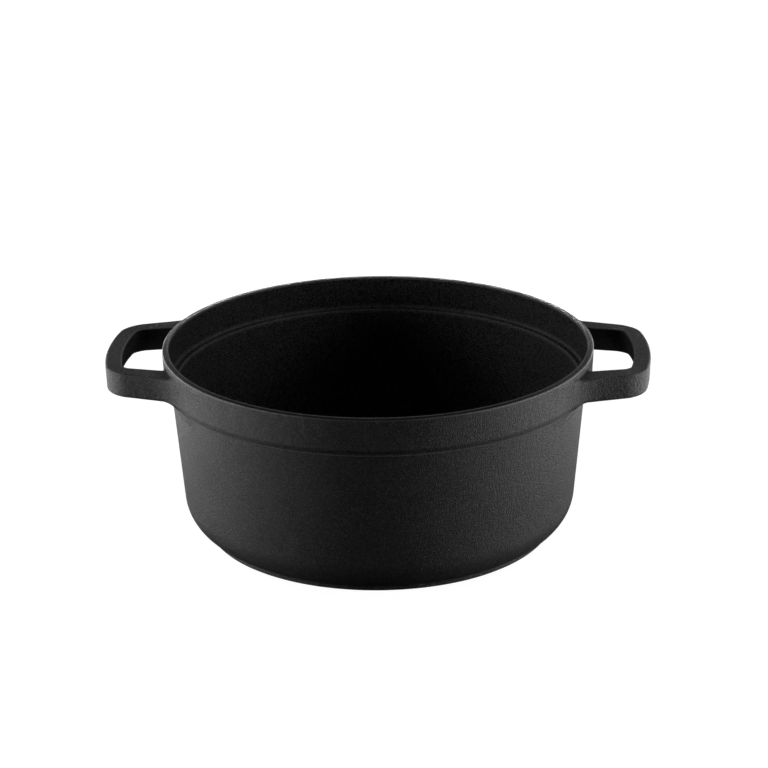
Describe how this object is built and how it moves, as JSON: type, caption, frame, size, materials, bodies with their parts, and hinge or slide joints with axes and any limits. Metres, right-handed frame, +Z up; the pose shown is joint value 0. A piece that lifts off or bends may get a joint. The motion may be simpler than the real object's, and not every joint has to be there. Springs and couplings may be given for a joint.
{
  "type": "dutch oven",
  "caption": "Open round cast iron cooking pot with gently flared sides, a thick rim collar with a lid ledge inside, and loop handles at the rim.",
  "frame": {"origin": "centre of the plane the pot stands on, on the pot's axis", "axes": "+X along the line through both handles, +Z up towards the open mouth"},
  "size_m": [0.3154, 0.25, 0.111],
  "materials": {
    "seasoned_iron": "matt black, fine sand-cast grain, thinner and slightly brighter on ground and worn edges"
  },
  "bodies": {
    "root": {"foot_ring": "seasoned_iron", "floor": "seasoned_iron", "corner_ring": "seasoned_iron", "side_wall": "seasoned_iron", "rim_collar": "seasoned_iron", "left_handle": "seasoned_iron", "right_handle": "seasoned_iron"}
  },
  "joints": []
}
